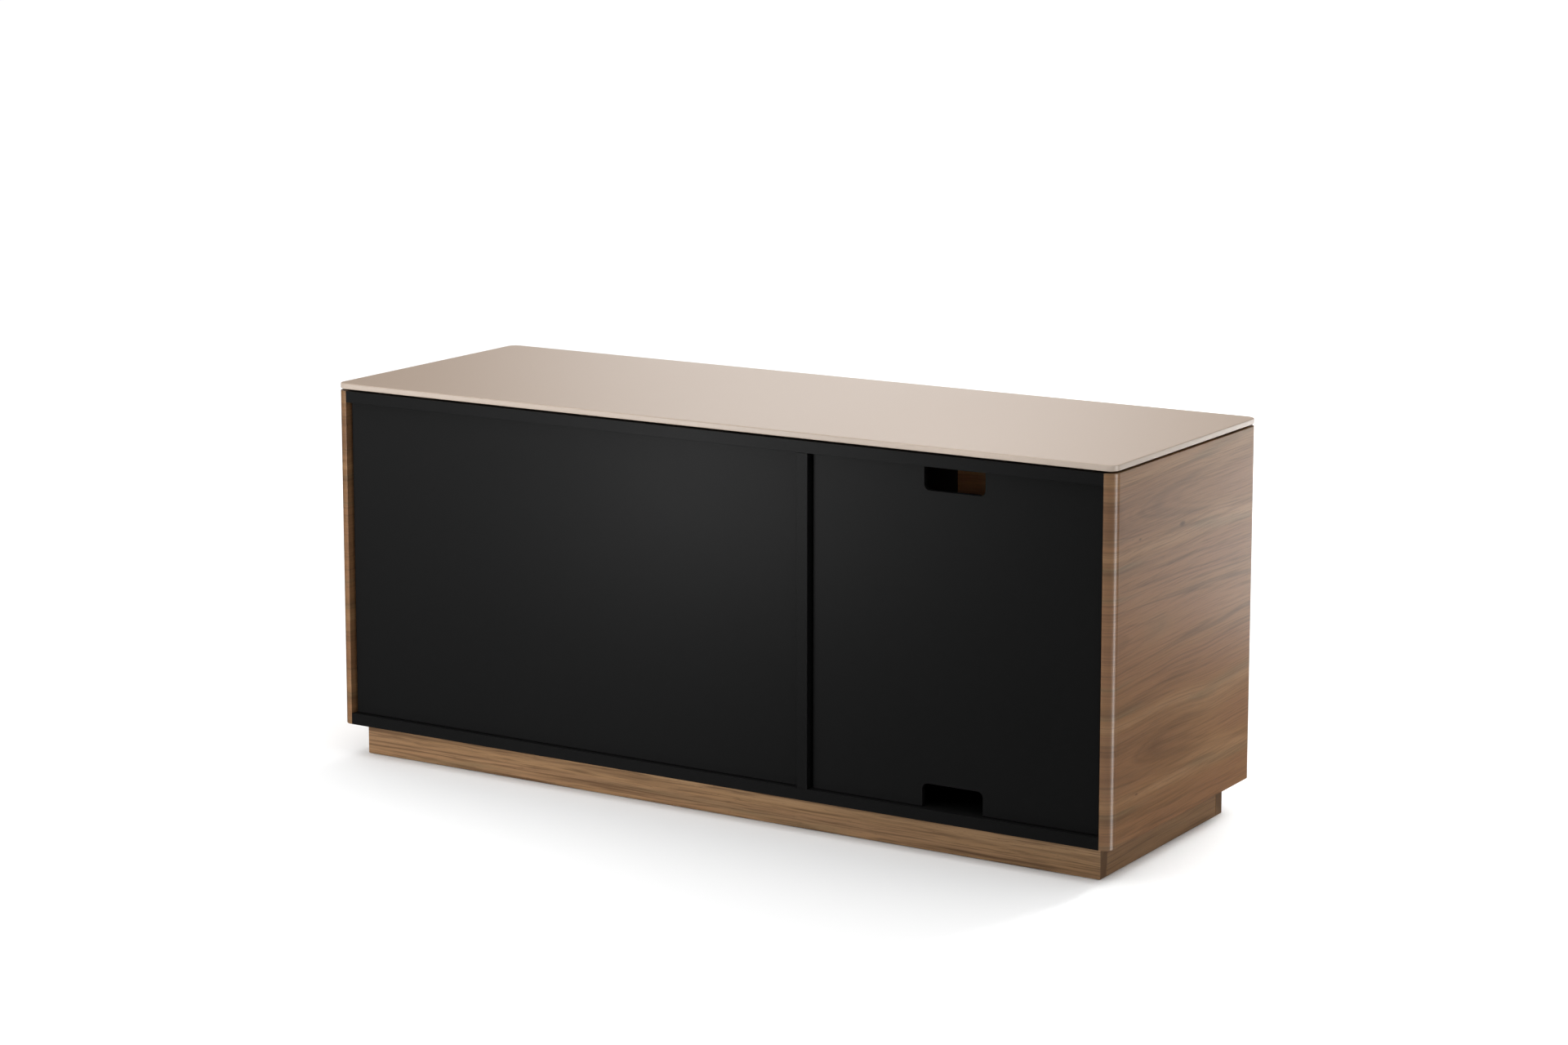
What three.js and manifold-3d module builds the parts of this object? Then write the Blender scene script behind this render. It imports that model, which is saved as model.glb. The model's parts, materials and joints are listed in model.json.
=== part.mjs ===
// A low media cabinet with a glass top, three doors and a removable back panel.
// Millimetres, +Z up. The origin is on the floor below the middle of the cabinet.
// The doors face -Y and the back panels face +Y.

import * as THREE from 'three';
import { mergeVertices } from 'three/addons/utils/BufferGeometryUtils.js';
import Module from 'manifold-3d';

const wasm = await Module();
wasm.setup();

// Overall sizes
const overallWidth = 1524;
const overallDepth = 525;
const overallHeight = 673;

// Boards and glass
const boardThickness = 20;
const cornerRadius = 18;
const edgeLand = 2;
const glassThickness = 10;
const glassBevel = 1.2;
const shadowGap = 3.4;
const narrowBayWidth = 535;
const glueGap = 0.2;

// Plinth and feet
const plinthHeight = 58.5;
const plinthBoard = 24;
const plinthSideInset = 32;
const plinthBackInset = 31.4;
const plinthFrontInset = 43.5;
const floorGap = 1;
const footRadius = 16;
const footBaseHeight = 8;
const footStudRadius = 4;
const footStudGrip = 11;
const footClearance = 30;

// Back panels
const panelThickness = 9;
const panelRecess = 10;
const panelSideGap = 5.5;
const panelEdgeGap = 1;
const notchWidth = 110.6;
const notchHeight = 40;
const notchRadius = 10;
const cleatWidth = 14;
const cleatDepth = 12;
const seatGap = 0.3;

// Doors and their pivots
const doorThickness = 20;
const doorBackGap = 2.5;
const doorSideGap = 3;
const doorEdgeRadius = 1.5;
const pivotFromEdge = 7;
const pivotFromFace = 6;
const plateThickness = 2.5;
const plateWidth = 18;
const plateTip = 5;
const plateLength = 58;
const plateShoulder = 14;
const pocketClearance = 0.2;
const plateToDoor = 0.8;
const pinRadius = 2.5;
const pinLength = 13;
const pinClearance = 0.1;
const bushRadius = 4;
const bushClearance = 0.12;
const flangeRadius = 5.4;
const flangeThickness = 0.5;
const bushLength = 15;

// Push latches
const latchWidth = 16;
const latchHeight = 14;
const latchLength = 62;
const latchSetback = 6;
const latchFromEdge = 30;
const plungerRadius = 4;
const plungerClearance = 0.4;
const plungerInside = 34;
const plungerTravel = 4;
const plungerGap = 0.4;
const strikeRadius = 8;
const strikeThickness = 1.4;
const strikeHole = 8.4;
const strikeSunk = 0.4;

// Shelves and their pins
const shelfHeight = 352;
const shelfSideGap = 1;
const shelfFrontInset = 16;
const shelfBackInset = 48;
const pinHoleRadius = 2.6;
const pinHoleDepth = 8.5;
const pinHolePitch = 32;
const pinHolesEachWay = 1;
const shelfPinRadius = 2.45;
const shelfPinGrip = 8;
const shelfPinReach = 9;
const shelfPinHead = 3.5;
const shelfPinCollar = 5;
const shelfPinCollarThickness = 0.8;
const shelfPinFront = 60;
const shelfPinBack = 70;

// Cable passage through the partition
const passageLength = 90;
const passageHeight = 50;
const passageRadius = 15;
const passageFromBack = 60;
const passageFromFloor = 20;

// Bumpers between the glass and the boards
const bumperRadius = 9;
const bumperInset = 70;

// Planes that the pieces share
const halfWidth = overallWidth / 2;
const halfDepth = overallDepth / 2;
const innerWidth = overallWidth - 2 * boardThickness;
const sideInner = innerWidth / 2;
const glassBottom = overallHeight - glassThickness;
const carcassTop = glassBottom - shadowGap;
const carcassBottom = plinthHeight + seatGap;
const bayTop = carcassTop - boardThickness;
const bayBottom = carcassBottom + boardThickness;
const boardFront = -halfDepth + doorThickness + doorBackGap;
const sideRadius = Math.min(cornerRadius, boardThickness - edgeLand);
const partitionLow = -sideInner + narrowBayWidth;
const partitionHigh = partitionLow + boardThickness;
const partitionMiddle = (partitionLow + partitionHigh) / 2;
const panelBack = halfDepth - panelRecess;
const panelFront = panelBack - panelThickness;
const cleatBack = panelFront - seatGap;
const plateTopZ = carcassTop - plateThickness;
const plateBottomZ = carcassBottom;
const doorTop = plateTopZ - plateToDoor;
const doorBottom = plateBottomZ + plateThickness + plateToDoor;
const pivotY = -halfDepth + pivotFromFace;
const wideBayMiddle = (partitionMiddle + sideInner) / 2;
const latchZ = bayTop - glueGap - latchHeight / 2;

const cabinet = new THREE.Group();

// Finishes ---------------------------------------------------------------

function finish(color, roughness, metalness) {
  return new THREE.MeshStandardMaterial({ color, roughness, metalness });
}

const finishes = {
  walnut: () => finish(0x8a6648, 0.45, 0),
  black: () => finish(0x1d1e20, 0.5, 0),
  glass: () => finish(0xc9b8a6, 0.35, 0),
  steel: () => finish(0x9a9a9c, 0.35, 1),
  blackSteel: () => finish(0x222222, 0.45, 0.6),
  plastic: () => finish(0x2a2a2a, 0.6, 0),
  nylon: () => finish(0xd8d4c8, 0.55, 0),
  rubber: () => finish(0x6f6f6f, 0.8, 0),
};

// Shape helpers ----------------------------------------------------------

// A rectangle with its own radius at each corner: low-low, high-low, high-high, low-high.
function outline([x0, x1], [y0, y1], [r0, r1, r2, r3]) {
  const shape = new THREE.Shape();
  const quarter = Math.PI / 2;
  shape.moveTo(x0 + r0, y0);
  shape.lineTo(x1 - r1, y0);
  if (r1 > 0) shape.absarc(x1 - r1, y0 + r1, r1, -quarter, 0, false);
  shape.lineTo(x1, y1 - r2);
  if (r2 > 0) shape.absarc(x1 - r2, y1 - r2, r2, 0, quarter, false);
  shape.lineTo(x0 + r3, y1);
  if (r3 > 0) shape.absarc(x0 + r3, y1 - r3, r3, quarter, 2 * quarter, false);
  shape.lineTo(x0, y0 + r0);
  if (r0 > 0) shape.absarc(x0 + r0, y0 + r0, r0, 2 * quarter, 3 * quarter, false);
  return shape;
}

// A box between two planes on each axis.
function block(x, y, z) {
  const geometry = new THREE.BoxGeometry(x[1] - x[0], y[1] - y[0], z[1] - z[0]);
  const mesh = new THREE.Mesh(geometry);
  mesh.position.set((x[0] + x[1]) / 2, (y[0] + y[1]) / 2, (z[0] + z[1]) / 2);
  return mesh;
}

// An outline in X and Y, carried up from one height to another.
function slab(shape, [z0, z1], curveSegments = 8) {
  const options = { depth: z1 - z0, bevelEnabled: false, curveSegments };
  const mesh = new THREE.Mesh(new THREE.ExtrudeGeometry(shape, options));
  mesh.position.z = z0;
  return mesh;
}

// An outline in X and Z, carried forwards from the plane y = back.
function upright(shape, back, thickness, curveSegments = 6) {
  const options = { depth: thickness, bevelEnabled: false, curveSegments };
  const mesh = new THREE.Mesh(new THREE.ExtrudeGeometry(shape, options));
  mesh.rotation.x = Math.PI / 2;
  mesh.position.y = back;
  return mesh;
}

// An outline in Y and Z, carried along X from one plane.
function across(shape, x, thickness, curveSegments = 6) {
  const options = { depth: thickness, bevelEnabled: false, curveSegments };
  const mesh = new THREE.Mesh(new THREE.ExtrudeGeometry(shape, options));
  mesh.rotation.set(Math.PI / 2, 0, Math.PI / 2, 'ZXY');
  mesh.position.x = x;
  return mesh;
}

// A cylinder whose axis is X, Y or Z, centred on a point.
function rod(radius, length, axis, position, sides = 24) {
  const mesh = new THREE.Mesh(new THREE.CylinderGeometry(radius, radius, length, sides));
  if (axis === 'x') mesh.rotation.z = Math.PI / 2;
  if (axis === 'z') mesh.rotation.x = Math.PI / 2;
  mesh.position.set(...position);
  return mesh;
}

// A turned piece: its profile gives radius and height, from the axis out and back.
function turned(profile, sides = 24) {
  const points = profile.map(([radius, height]) => new THREE.Vector2(radius, height));
  const mesh = new THREE.Mesh(new THREE.LatheGeometry(points, sides));
  mesh.rotation.x = Math.PI / 2;
  return mesh;
}

function toSolid(mesh) {
  mesh.updateMatrix();
  const geometry = mesh.geometry.clone().applyMatrix4(mesh.matrix);
  geometry.deleteAttribute('normal');
  geometry.deleteAttribute('uv');
  const merged = mergeVertices(geometry, 1e-4);
  const vertProperties = new Float32Array(merged.attributes.position.array);
  const triVerts = new Uint32Array(merged.index.array);
  return new wasm.Manifold(new wasm.Mesh({ numProp: 3, vertProperties, triVerts }));
}

// Puts a solid back into a mesh, which keeps its own place in the group.
function fromSolid(mesh, solid) {
  const result = solid.getMesh();
  const geometry = new THREE.BufferGeometry();
  geometry.setAttribute('position', new THREE.BufferAttribute(result.vertProperties, 3));
  geometry.setIndex(new THREE.BufferAttribute(result.triVerts, 1));
  geometry.applyMatrix4(mesh.matrix.clone().invert());
  geometry.computeVertexNormals();
  mesh.geometry = geometry;
  return mesh;
}

function carve(mesh, cutters) {
  let solid = toSolid(mesh);
  for (const cutter of cutters) {
    solid = solid.subtract(toSolid(cutter));
  }
  return fromSolid(mesh, solid);
}

function join(mesh, additions) {
  let solid = toSolid(mesh);
  for (const addition of additions) {
    solid = solid.add(toSolid(addition));
  }
  return fromSolid(mesh, solid);
}

function put(group, name, mesh, material) {
  mesh.name = name;
  mesh.material = material;
  group.add(mesh);
  return mesh;
}

// Doors: where each one starts, ends and turns ------------------------------

const bayDoors = [
  { name: 'left', low: -sideInner + doorSideGap, high: partitionMiddle - doorSideGap / 2, hinge: -1 },
  { name: 'middle', low: partitionMiddle + doorSideGap / 2, high: wideBayMiddle - doorSideGap / 2, hinge: -1 },
  { name: 'right', low: wideBayMiddle + doorSideGap / 2, high: sideInner - doorSideGap, hinge: 1 },
];

// The free edge's latch stays inside the bay that its door closes.
const latchPlaces = {
  left: partitionLow - latchFromEdge,
  middle: wideBayMiddle - latchFromEdge,
  right: wideBayMiddle + latchFromEdge,
};

function pivotX(door) {
  return door.hinge < 0 ? door.low + pivotFromEdge : door.high - pivotFromEdge;
}

// Feet stand inside the plinth's corners and beside its brace.
const plinthX = halfWidth - plinthSideInset;
const plinthBack = halfDepth - plinthBackInset;
const plinthFront = -halfDepth + plinthFrontInset;
const footX = plinthX - plinthBoard - footClearance;
const footFrontY = plinthFront + plinthBoard + footClearance;
const footBackY = plinthBack - plinthBoard - footClearance;
const feet = [
  { name: 'front_left', x: -footX, y: footFrontY },
  { name: 'front_right', x: footX, y: footFrontY },
  { name: 'back_left', x: -footX, y: footBackY },
  { name: 'back_right', x: footX, y: footBackY },
  { name: 'middle', x: partitionHigh + footClearance, y: 0 },
];

// Carcass ------------------------------------------------------------------

// The pockets that the pivot plates lie in, over or under a board's front edge.
function platePockets(z) {
  return bayDoors.map((door) => {
    const reach = plateWidth / 2 + pocketClearance;
    const x = pivotX(door);
    const back = pivotY + plateLength + pocketClearance;
    return block([x - reach, x + reach], [boardFront - 1, back], z);
  });
}

function makeTopBoard() {
  const half = sideInner - glueGap;
  const board = block([-half, half], [boardFront, halfDepth], [bayTop, carcassTop]);
  carve(board, platePockets([plateTopZ - pocketClearance, carcassTop + 1]));
  put(cabinet, 'top_board', board, finishes.black());
}

function makeBottomBoard() {
  const half = sideInner - glueGap;
  const board = block([-half, half], [boardFront, halfDepth], [carcassBottom, bayBottom]);
  const pocketTop = plateBottomZ + plateThickness + pocketClearance;
  const holes = feet.map((foot) => {
    const depth = 2 * (footStudGrip + 1);
    return rod(footStudRadius + pocketClearance, depth, 'z', [foot.x, foot.y, carcassBottom]);
  });
  carve(board, [...platePockets([carcassBottom - 1, pocketTop]), ...holes]);
  put(cabinet, 'bottom_board', board, finishes.black());
}

function pinHeights() {
  const heights = [];
  const seat = shelfHeight - shelfPinHead - glueGap;
  for (let step = -pinHolesEachWay; step <= pinHolesEachWay; step += 1) {
    heights.push(seat + step * pinHolePitch);
  }
  return heights;
}

const shelfPinYs = [boardFront + shelfFrontInset + shelfPinFront, halfDepth - shelfBackInset - shelfPinBack];

// Blind holes for shelf pins, bored from the face at x towards one side.
function pinHoles(x, direction) {
  const holes = [];
  for (const y of shelfPinYs) {
    for (const z of pinHeights()) {
      const middle = x + (direction * (pinHoleDepth - 1)) / 2;
      holes.push(rod(pinHoleRadius, pinHoleDepth + 1, 'x', [middle, y, z], 10));
    }
  }
  return holes;
}

function makeSidePanel(name, side) {
  const xs = side < 0 ? [-halfWidth, -sideInner] : [sideInner, halfWidth];
  const r = sideRadius;
  const radii = side < 0 ? [r, 0, 0, r] : [0, r, r, 0];
  const panel = slab(outline(xs, [-halfDepth, halfDepth], radii), [carcassBottom, carcassTop]);
  carve(panel, pinHoles(side * sideInner, side));
  put(cabinet, name, panel, finishes.walnut());
}

function makePartition() {
  const z = [bayBottom + glueGap, bayTop - glueGap];
  const board = block([partitionLow, partitionHigh], [boardFront, halfDepth], z);
  const passageZ = bayBottom + passageFromFloor;
  const passageY = halfDepth - passageFromBack;
  const radii = [passageRadius, passageRadius, passageRadius, passageRadius];
  const hole = outline([passageY - passageLength, passageY], [passageZ, passageZ + passageHeight], radii);
  const cutter = across(hole, partitionLow - 1, boardThickness + 2);
  carve(board, [cutter, ...pinHoles(partitionLow, 1), ...pinHoles(partitionHigh, -1)]);
  put(cabinet, 'partition', board, finishes.black());
}

function makeGlassTop() {
  const r = sideRadius;
  const shape = outline([-halfWidth, halfWidth], [-halfDepth, halfDepth], [r, r, r, r]);
  const geometry = new THREE.ExtrudeGeometry(shape, {
    depth: glassThickness - 2 * glassBevel,
    bevelThickness: glassBevel,
    bevelSize: glassBevel,
    bevelOffset: -glassBevel,
    bevelSegments: 2,
    curveSegments: 8,
  });
  const glass = new THREE.Mesh(geometry);
  glass.position.z = glassBottom + glassBevel;
  put(cabinet, 'glass_top', glass, finishes.glass());
}

function makeBumpers() {
  for (const [row, sideY] of [['front', -1], ['back', 1]]) {
    for (const [column, sideX] of [['left', -1], ['right', 1]]) {
      const x = sideX * (halfWidth - boardThickness - bumperInset);
      const y = sideY * (halfDepth - bumperInset);
      const z = carcassTop + shadowGap / 2;
      const bumper = rod(bumperRadius, shadowGap - 2 * glueGap, 'z', [x, y, z]);
      put(cabinet, `glass_bumper_${row}_${column}`, bumper, finishes.rubber());
    }
  }
}

// Plinth and feet ------------------------------------------------------------

function makePlinth() {
  const z = [floorGap, plinthHeight];
  const frontInner = plinthFront + plinthBoard;
  const backInner = plinthBack - plinthBoard;
  const between = [frontInner + glueGap, backInner - glueGap];
  const front = block([-plinthX, plinthX], [plinthFront, frontInner], z);
  const back = block([-plinthX, plinthX], [backInner, plinthBack], z);
  const left = block([-plinthX, -plinthX + plinthBoard], between, z);
  const right = block([plinthX - plinthBoard, plinthX], between, z);
  const brace = block([partitionLow, partitionHigh], between, z);
  put(cabinet, 'plinth_front', front, finishes.walnut());
  put(cabinet, 'plinth_back', back, finishes.walnut());
  put(cabinet, 'plinth_left', left, finishes.walnut());
  put(cabinet, 'plinth_right', right, finishes.walnut());
  put(cabinet, 'plinth_brace', brace, finishes.black());
}

function makeFeet() {
  const studTop = carcassBottom + footStudGrip;
  const lip = 1.5;
  for (const spot of feet) {
    const foot = turned([
      [0, 0],
      [footRadius - lip, 0],
      [footRadius, lip],
      [footRadius, footBaseHeight - lip],
      [footRadius - lip, footBaseHeight],
      [footStudRadius, footBaseHeight],
      [footStudRadius, studTop],
      [0, studTop],
    ]);
    foot.position.set(spot.x, spot.y, 0);
    put(cabinet, `foot_${spot.name}`, foot, finishes.blackSteel());
  }
}

// Back panels ----------------------------------------------------------------

function makeBackPanels() {
  const z = [bayBottom + panelEdgeGap, bayTop - panelEdgeGap];
  const wideX = [partitionHigh + panelSideGap, sideInner - panelSideGap];
  const narrowX = [-sideInner + panelSideGap, partitionLow - panelSideGap];
  const wide = block(wideX, [panelFront, panelBack], z);
  put(cabinet, 'back_panel_wide', wide, finishes.black());

  const middle = (narrowX[0] + narrowX[1]) / 2;
  const notchX = [middle - notchWidth / 2, middle + notchWidth / 2];
  const r = notchRadius;
  const top = outline(notchX, [bayTop - notchHeight, bayTop + r], [r, r, 0, 0]);
  const bottom = outline(notchX, [bayBottom - r, bayBottom + notchHeight], [0, 0, r, r]);
  const narrow = block(narrowX, [panelFront, panelBack], z);
  const cutters = [top, bottom].map((shape) => upright(shape, panelBack + 1, panelThickness + 2));
  carve(narrow, cutters);
  put(cabinet, 'back_panel_narrow', narrow, finishes.black());
}

function makeCleats() {
  const y = [cleatBack - cleatDepth, cleatBack];
  const z = [bayBottom + panelEdgeGap, bayTop - panelEdgeGap];
  const faces = [
    ['cleat_narrow_side', -sideInner, 1],
    ['cleat_narrow_partition', partitionLow, -1],
    ['cleat_wide_partition', partitionHigh, 1],
    ['cleat_wide_side', sideInner, -1],
  ];
  for (const [name, face, direction] of faces) {
    const near = face + direction * glueGap;
    const far = near + direction * cleatWidth;
    const cleat = block([Math.min(near, far), Math.max(near, far)], y, z);
    put(cabinet, name, cleat, finishes.black());
  }
}

// Doors ------------------------------------------------------------------------

// A plate with its riveted pin, drawn about the pivot. up is 1 where the pin points up.
function makePivotPlate(name, x, z, up) {
  const half = plateWidth / 2;
  const shape = new THREE.Shape();
  shape.moveTo(half, plateShoulder);
  shape.lineTo(half, plateLength);
  shape.lineTo(-half, plateLength);
  shape.lineTo(-half, plateShoulder);
  shape.lineTo(-plateTip, 0);
  shape.absarc(0, 0, plateTip, Math.PI, 2 * Math.PI, false);
  const plate = slab(shape, [0, plateThickness]);
  const bury = plateThickness / 2;
  const pinMiddle = up > 0 ? plateThickness + (pinLength - bury) / 2 : -(pinLength - bury) / 2;
  const pin = rod(pinRadius, pinLength + bury, 'z', [0, 0, pinMiddle]);
  join(plate, [pin]);
  plate.position.set(x, pivotY, z);
  put(cabinet, name, plate, finishes.blackSteel());
}

// A flanged bush in the door's edge, open right through so that the pin turns in it.
function makeBush(group, name, z, outward) {
  const bore = pinRadius + pinClearance;
  const bush = turned([
    [bore, -bushLength],
    [bushRadius, -bushLength],
    [bushRadius, -flangeThickness],
    [flangeRadius, -flangeThickness],
    [flangeRadius, 0],
    [bore, 0],
    [bore, -bushLength],
  ]);
  bush.rotation.x = (outward * Math.PI) / 2;
  bush.position.z = z + outward * flangeThickness;
  put(group, name, bush, finishes.nylon());
}

function makeDoor(door) {
  const group = new THREE.Group();
  const x = pivotX(door);
  group.position.set(x, pivotY, 0);
  cabinet.add(group);

  const r = doorEdgeRadius;
  const front = -pivotFromFace;
  const shape = outline([door.low - x, door.high - x], [front, front + doorThickness], [r, r, r, r]);
  const board = slab(shape, [doorBottom, doorTop], 3);
  const depth = bushLength + 1;
  const holes = [doorTop, doorBottom].map((z) => rod(bushRadius + bushClearance, 2 * depth, 'z', [0, 0, z]));
  const strikeX = latchPlaces[door.name] - x;
  const inner = front + doorThickness;
  const recess = rod(strikeHole, 2 * strikeSunk, 'y', [strikeX, inner, latchZ]);
  carve(board, [...holes, recess]);
  put(group, `door_${door.name}`, board, finishes.walnut());

  makeBush(group, `bush_${door.name}_top`, doorTop, 1);
  makeBush(group, `bush_${door.name}_bottom`, doorBottom, -1);

  const strikeBase = inner - strikeSunk + pocketClearance;
  const strikeY = strikeBase + strikeThickness / 2;
  const strike = rod(strikeRadius, strikeThickness, 'y', [strikeX, strikeY, latchZ]);
  put(group, `strike_${door.name}`, strike, finishes.steel());

  makePivotPlate(`pivot_plate_${door.name}_top`, x, plateTopZ, -1);
  makePivotPlate(`pivot_plate_${door.name}_bottom`, x, plateBottomZ, 1);
}

function makeLatch(door) {
  const x = latchPlaces[door.name];
  const front = boardFront + latchSetback;
  const z = [bayTop - glueGap - latchHeight, bayTop - glueGap];
  const housing = block([x - latchWidth / 2, x + latchWidth / 2], [front, front + latchLength], z);
  const boreLength = plungerInside + plungerTravel + 2;
  const bore = rod(plungerRadius + plungerClearance, 2 * boreLength, 'y', [x, front, latchZ]);
  carve(housing, [bore]);
  put(cabinet, `latch_housing_${door.name}`, housing, finishes.plastic());

  const strikeFace = -halfDepth + doorThickness - strikeSunk + pocketClearance + strikeThickness;
  const tip = strikeFace + plungerGap;
  const end = front + plungerInside;
  const plunger = rod(plungerRadius, end - tip, 'y', [x, (tip + end) / 2, latchZ], 20);
  put(cabinet, `plunger_${door.name}`, plunger, finishes.steel());
}

// Shelves ------------------------------------------------------------------------

function makeShelfPin(name, face, direction, y) {
  const pin = turned([
    [0, -shelfPinGrip],
    [shelfPinRadius, -shelfPinGrip],
    [shelfPinRadius, glueGap],
    [shelfPinCollar, glueGap],
    [shelfPinCollar, glueGap + shelfPinCollarThickness],
    [shelfPinHead, glueGap + shelfPinCollarThickness],
    [shelfPinHead, glueGap + shelfPinReach],
    [0, glueGap + shelfPinReach],
  ], 12);
  pin.rotation.set(0, 0, (-direction * Math.PI) / 2);
  pin.position.set(face, y, shelfHeight - shelfPinHead - glueGap);
  put(cabinet, name, pin, finishes.steel());
}

function makeShelf(name, faces) {
  const collar = glueGap + shelfPinCollarThickness + shelfSideGap;
  const y = [boardFront + shelfFrontInset, halfDepth - shelfBackInset];
  const z = [shelfHeight, shelfHeight + boardThickness];
  const shelf = block([faces[0] + collar, faces[1] - collar], y, z);
  put(cabinet, `shelf_${name}`, shelf, finishes.black());
  for (const [row, pinY] of [['front', shelfPinYs[0]], ['back', shelfPinYs[1]]]) {
    makeShelfPin(`shelf_pin_${name}_${row}_left`, faces[0], 1, pinY);
    makeShelfPin(`shelf_pin_${name}_${row}_right`, faces[1], -1, pinY);
  }
}

makeTopBoard();
makeBottomBoard();
makeSidePanel('side_panel_left', -1);
makeSidePanel('side_panel_right', 1);
makePartition();
makeGlassTop();
makeBumpers();
makePlinth();
makeFeet();
makeBackPanels();
makeCleats();
for (const door of bayDoors) {
  makeDoor(door);
  makeLatch(door);
}
makeShelf('narrow', [-sideInner, partitionLow]);
makeShelf('wide', [partitionHigh, sideInner]);

export default cabinet;
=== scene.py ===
import json
import math
import bmesh
import bpy
import numpy as np
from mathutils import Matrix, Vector


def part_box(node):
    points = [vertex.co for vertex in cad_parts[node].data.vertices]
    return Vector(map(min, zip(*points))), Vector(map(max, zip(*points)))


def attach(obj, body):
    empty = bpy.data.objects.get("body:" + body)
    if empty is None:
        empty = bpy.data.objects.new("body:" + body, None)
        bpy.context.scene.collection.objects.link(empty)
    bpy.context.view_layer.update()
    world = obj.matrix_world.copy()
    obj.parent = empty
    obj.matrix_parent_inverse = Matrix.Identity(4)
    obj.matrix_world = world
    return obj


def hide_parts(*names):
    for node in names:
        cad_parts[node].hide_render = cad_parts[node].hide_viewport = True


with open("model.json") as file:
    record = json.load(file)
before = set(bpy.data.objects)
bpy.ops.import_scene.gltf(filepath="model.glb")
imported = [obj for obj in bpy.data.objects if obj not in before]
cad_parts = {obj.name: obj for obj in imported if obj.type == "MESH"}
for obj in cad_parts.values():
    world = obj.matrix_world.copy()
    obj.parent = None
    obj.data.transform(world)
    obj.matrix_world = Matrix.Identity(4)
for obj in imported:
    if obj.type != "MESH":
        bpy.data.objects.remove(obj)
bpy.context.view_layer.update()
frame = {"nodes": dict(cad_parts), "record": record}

# A low media cabinet seen from its back: walnut sides and plinth, black back panels and boards,
# a satin glass top, three walnut doors at the front. Metres, +Z up, back panels face +Y.

bodies = frame["record"]["behaviour"]["bodies"]
bodyOf = {node: body for body, nodes in bodies.items() for node in nodes}
print("frame loaded:", len(bodyOf), "nodes")


# camera, floor and lights

view = {
    "place": (-3.203, 5.164, 1.687),   # metres, behind the cabinet and to the side with the narrow bay
    "azimuth": 211.81,                 # degrees, 180 looks straight at the back
    "elevation": 8.94,
    "lens": 82.83,                     # millimetres
    "sensor": 36,                      # millimetres wide
    "shift": -0.10,
    "reach": 100,                      # metres the camera sees
}

studio = {
    "floorColour": (1.0, 1.0, 1.0),
    "floorSize": 60,          # metres
    "floorRoughness": 0.95,
    "floorGrain": (60.0, 0.02),   # how fine its grain is, and the grain's share of the colour
    "skyHigh": 2.20,          # soft light from overhead, on matt surfaces
    "skyLow": 0.28,           # and from near the horizon
    "skyClimb": (0.40, 0.95),     # sine of the height where it starts to grow, and where it ends
    "skySide": (0.18, 0.20),  # how much stronger it is from +X and from +Y
    "skyGloss": 0.035,        # what shiny surfaces see of the room
    # soft lights seen in gloss only: (towards, spread in degrees, strength)
    "glows": [
        ((0.503, -0.850, 0.156), 8.0, 1.8),      # low behind the front, on the glass
        ((-0.972, -0.093, -0.208), 15.0, 9.0),   # the side strip that the rounded rear edge catches
    ],
    "backdrop": 1.15,
    # name: (place, aims at, width, height, watts, beam in degrees, seen in gloss); those that are
    # seen in gloss stay below the glass top, or it would mirror them
    "lights": {
        "keyBox": ((2.3, 2.6, 0.38), (0.75, 0.26, 0.40), 0.5, 0.5, 3.1, 180, True),
        "edgeBox": ((2.3, 2.6, 0.95), (0.75, 0.26, 0.40), 0.5, 0.9, 22, 180, False),
        "poolBox": ((0.60, 1.33, 0.44), (-0.05, 0.26, 0.40), 0.40, 0.40, 1.6, 180, True),
        "bounceBox": ((0.9, 2.9, 0.25), (0.40, 0.26, 0.02), 0.9, 0.3, 1.6, 44, False),
        "farBox": ((-1.10, -1.22, 0.36), (-0.76, -0.26, 0.50), 0.24, 0.60, 2.4, 180, True),
        "fillBox": ((-2.7, 0.5, 1.7), (-0.76, 0.0, 0.10), 1.2, 1.2, 1.5, 180, False),
        "floorBox": ((-1.5, -2.6, 1.6), (-1.25, -0.35, 0.0), 0.8, 0.5, 3.4, 30, False),
        "notchBox": ((-1.14, 1.60, 0.90), (-0.474, 0.2525, 0.62), 0.12, 0.12, 0.05, 18, False),
        "frontBox": ((0.6, -4.4, 1.9), (0.0, -0.26, 0.4), 2.2, 1.4, 55, 180, False),
    },
}


def makeCamera(spec):
    data = bpy.data.cameras.new("mainCamera")
    data.lens = spec["lens"]
    data.sensor_width = spec["sensor"]
    data.sensor_fit = "HORIZONTAL"
    data.shift_y = spec["shift"]
    data.clip_end = spec["reach"]
    camera = bpy.data.objects.new("mainCamera", data)
    turn, lift = math.radians(spec["azimuth"]), math.radians(spec["elevation"])
    back = Vector((math.sin(turn) * math.cos(lift), -math.cos(turn) * math.cos(lift), math.sin(lift)))
    camera.rotation_mode = "QUATERNION"
    camera.rotation_quaternion = (-back).to_track_quat("-Z", "Y")
    camera.location = spec["place"]
    bpy.context.scene.collection.objects.link(camera)
    bpy.context.scene.camera = camera


def makeLights(spec):
    for name, light in spec["lights"].items():
        place, target, width, height, watts, beam, inGloss = light
        data = bpy.data.lights.new(name, "AREA")
        data.shape = "RECTANGLE"
        data.size, data.size_y = width, height
        data.energy = watts
        data.spread = math.radians(beam)
        lamp = bpy.data.objects.new(name, data)
        lamp.location = place
        lamp.rotation_mode = "QUATERNION"
        lamp.rotation_quaternion = (Vector(target) - Vector(place)).to_track_quat("-Z", "Y")
        lamp.visible_glossy = inGloss
        lamp.visible_camera = False
        bpy.context.scene.collection.objects.link(lamp)


# shader maths

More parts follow.
